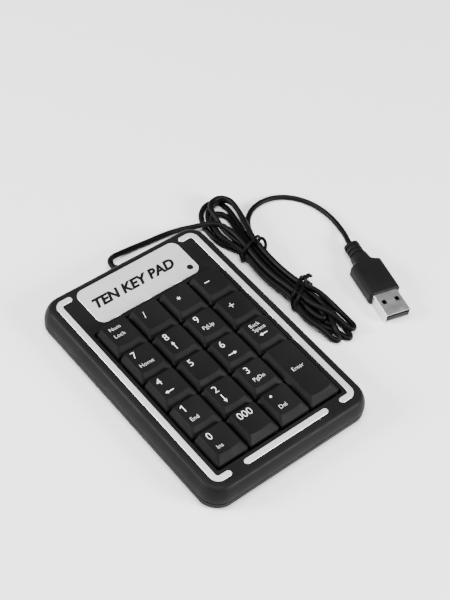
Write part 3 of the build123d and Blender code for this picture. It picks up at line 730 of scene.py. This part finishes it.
RIGHT, UP, LEFT, DOWN = 0, 90, 180, 270
legend("key_num_lock", (0, 0), [("Num", -0.9, 4.5, WORD), ("Lock", -1.1, 0.6, WORD)])
legend("key_divide", (1, 0), [("/", -2.7, 3.0, DIGIT)])
legend("key_multiply", (2, 0), [("*", -1.5, 2.0, DIGIT)])
legend("key_minus", (3, 0), [("-", -2.2, 2.1, DIGIT)])
legend("key_7", (0, 1), [("7", -2.9, 4.7, DIGIT), ("Home", -0.9, -1.2, WORD)])
legend("key_8", (1, 1), [("8", -2.7, 4.7, DIGIT), (UP, -2.2, -0.6, 4.2)])
legend("key_9", (2, 1), [("9", -2.7, 4.7, DIGIT), ("PgUp", -0.6, -0.9, WORD)])
legend("key_plus", (3, 1), [("+", -1.7, 2.4, DIGIT)])
legend("key_4", (0, 2), [("4", -2.9, 4.5, DIGIT), (LEFT, -1.9, -1.5, 4.2)])
legend("key_5", (1, 2), [("5", -2.5, 4.6, DIGIT)])
legend("key_6", (2, 2), [("6", -2.3, 4.6, DIGIT), (RIGHT, -1.4, -1.5, 4.2)])
BACK_SPACE = [("Back", -0.6, 4.9, WORD), ("Space", -0.1, 2.1, WORD), (LEFT, -0.2, -0.8, 4.0)]
legend("key_backspace", (3, 2), BACK_SPACE)
legend("key_1", (0, 3), [("1", -3.1, 4.5, DIGIT), ("End", -1.9, -1.4, WORD)])
legend("key_2", (1, 3), [("2", -2.8, 4.5, DIGIT), (DOWN, -2.5, -0.8, 4.2)])
legend("key_3", (2, 3), [("3", -2.3, 4.5, DIGIT), ("PgDn", -0.4, -1.2, WORD)])
legend("key_enter", (3, 3.5), [("Enter", 0.0, 1.9, WORD)])
legend("key_0", (0, 4), [("0", -2.8, 4.5, DIGIT), ("Ins", -2.1, -1.4, WORD)])
legend("key_000", (1, 4), [("000", -0.6, 4.7, DIGIT)])
legend("key_decimal", (2, 4), [(".", -2.8, 4.9, DIGIT), ("Del", -1.5, -1.1, WORD)])

PLATE_Z = 12.12
PLATE_TEXT, PLATE_CAPITALS, PLATE_TEXT_AT = "TEN KEY PAD", 5.0, (-2.0, 44.8)


def plate_face(x):
    """The name plate is flat."""
    return PLATE_Z


plate_outline = font_outline(PLATE_TEXT, PLATE_CAPITALS, PLATE_WEIGHT, PLATE_SLANT)
printed("plate_lettering", [(plate_outline, *PLATE_TEXT_AT)], "housing", plate_face, PLATE_INK)


# ---------------------------------------------------------------- twist ties
TIE_WIRE, KNOT_WIRE = 0.72, 1.05  # radii
STEPS_PER_TWIST = 7
# the tie's way round the bundle: across and up, from the right over the top
TIE_RING = [
    (5.8, 2.2),
    (5.5, 5.0),
    (3.8, 7.6),
    (1.4, 8.7),
    (-1.4, 8.7),
    (-4.4, 8.6),
    (-6.4, 7.2),
    (-7.3, 4.6),
    (-6.4, 1.3),
    (-3.8, 0.8),
    (0.0, 0.8),
    (3.8, 0.8),
]


def wound(centre, slope, turns, pitch):
    """Points of a wire round the bundle. It advances along the bundle by one pitch in each turn."""
    steps = turns * len(TIE_RING)
    points = []
    for step in range(steps + 1):
        x, z = TIE_RING[step % len(TIE_RING)]
        advance = pitch * (step / len(TIE_RING) - turns / 2)
        points.append((centre[0] + x, centre[1] + slope * x - advance, z))
    return points


def twisted(base, direction, length, turns, phase, radius=0.5):
    """Points of one strand of a twisted pair, or of a knot's coil, from the base outwards."""
    along = Vector(direction).normalized()
    side = along.cross(Vector((0, 0, 1))).normalized()
    lift = side.cross(along)
    points = []
    steps = round(turns * STEPS_PER_TWIST)
    for step in range(steps + 1):
        share = step / steps
        angle = phase + share * turns * 2 * math.pi
        offset = radius * (side * math.cos(angle) + lift * math.sin(angle))
        points.append(tuple(Vector(base) + along * (length * share) + offset))
    return points


def tie_piece(name, points, radius=TIE_WIRE, replaced=None):
    """A coated wire along these points, in place of a CAD node if one is named."""
    piece = spline_piece(name, points, radius)
    finish_piece(piece, TIE_BLACK)
    if replaced:
        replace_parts(piece, replaced)
    return piece


def tie_knot(name, base, direction):
    """A short tight coil of wire, where a tie's ends meet."""
    coil = twisted(base, direction, length=2.2, turns=2.0, phase=0.0, radius=0.75)
    return tie_piece(name, coil, radius=KNOT_WIRE)


UPPER_LOOP = [(60.2, 31.2, 7.2), (62.2, 33.0, 6.6), (63.9, 35.6, 5.8), (64.9, 38.4, 4.6), (63.6, 39.4, 2.8)]
upper_points = UPPER_LOOP + wound((58.2, 37.0), 0.24, 1, 1.3)
tie_upper = tie_piece("tie_upper", upper_points, replaced="twist_tie_upper")

LOWER_ENDS_BASE, LOWER_ENDS_WAY = (63.6, 9.6, 5.6), (1.0, -0.15, -0.05)
lower_points = list(reversed(twisted(LOWER_ENDS_BASE, LOWER_ENDS_WAY, 3.6, 1.5, 0.0)))
lower_points += wound((58.6, 5.2), 0.5, 2, 2.8)
lower_points += [(64.8, 7.0, 4.8)] + twisted(LOWER_ENDS_BASE, LOWER_ENDS_WAY, 4.6, 1.5, math.pi)
tie_lower = tie_piece("tie_lower", lower_points, replaced="twist_tie_lower")
knots = [
    tie_knot("tie_upper_knot", (52.0, 36.8, 3.2), (-0.25, -1.0, -0.2)),
    tie_knot("tie_lower_knot_left", (52.7, 2.6, 2.6), (-0.3, -1.0, -0.1)),
    tie_knot("tie_lower_knot_right", (64.6, 7.4, 3.0), (0.2, -1.0, -0.1)),
]


# ---------------------------------------------------------------- floor and lights
FLOOR_HALF = 3
PAPER_DARK, PAPER_LIGHT = (0.885, 0.885, 0.885), (0.9, 0.9, 0.9)


def make_floor():
    """A sheet of white paper, far larger than the view."""
    corners = [(-1, -1), (1, -1), (1, 1), (-1, 1)]
    mesh = bpy.data.meshes.new("floor")
    mesh.from_pydata([(x * FLOOR_HALF, y * FLOOR_HALF, 0) for x, y in corners], [], [(0, 1, 2, 3)])
    floor = bpy.data.objects.new("floor", mesh)
    bpy.context.scene.collection.objects.link(floor)
    material, principled = shader("floor_paper", PAPER_LIGHT, 0.85)
    shade = ramp(material, noise(material, 3.0), PAPER_DARK, PAPER_LIGHT)
    material.node_tree.links.new(shade, principled.inputs["Base Color"])
    mesh.materials.append(material)


def area_light(name, place, aim, size, power):
    """A square softbox. Places and size are in metres and power is in watts."""
    data = bpy.data.lights.new(name, "AREA")
    data.shape = "SQUARE"
    data.size = size
    data.energy = power
    light = bpy.data.objects.new(name, data)
    light.location = place
    light.rotation_euler = (Vector(aim) - Vector(place)).to_track_quat("-Z", "Y").to_euler()
    bpy.context.scene.collection.objects.link(light)


def make_world(strength):
    """A faint even white light from all round."""
    world = bpy.data.worlds.new("studio")
    world.use_nodes = True
    background = world.node_tree.nodes["Background"]
    background.inputs["Color"].default_value = (1.0, 1.0, 1.0, 1.0)
    background.inputs["Strength"].default_value = strength
    bpy.context.scene.world = world


WORLD_STRENGTH = 0.18
# name, place, aim, size, power. The two at the sides stand where the housing's edges mirror them.
SOFTBOXES = [
    ("top_box", (-0.1, 0.0, 1.1), (0.02, 0.0, 0.0), 0.7, 20.5),
    ("left_box", (-0.78, 0.44, 0.46), (0.0, 0.0, 0.0), 0.35, 22.0),
    ("right_box", (0.44, -0.78, 0.44), (0.0, 0.0, 0.0), 0.35, 22.0),
]
make_floor()
make_world(WORLD_STRENGTH)
for softbox in SOFTBOXES:
    area_light(*softbox)
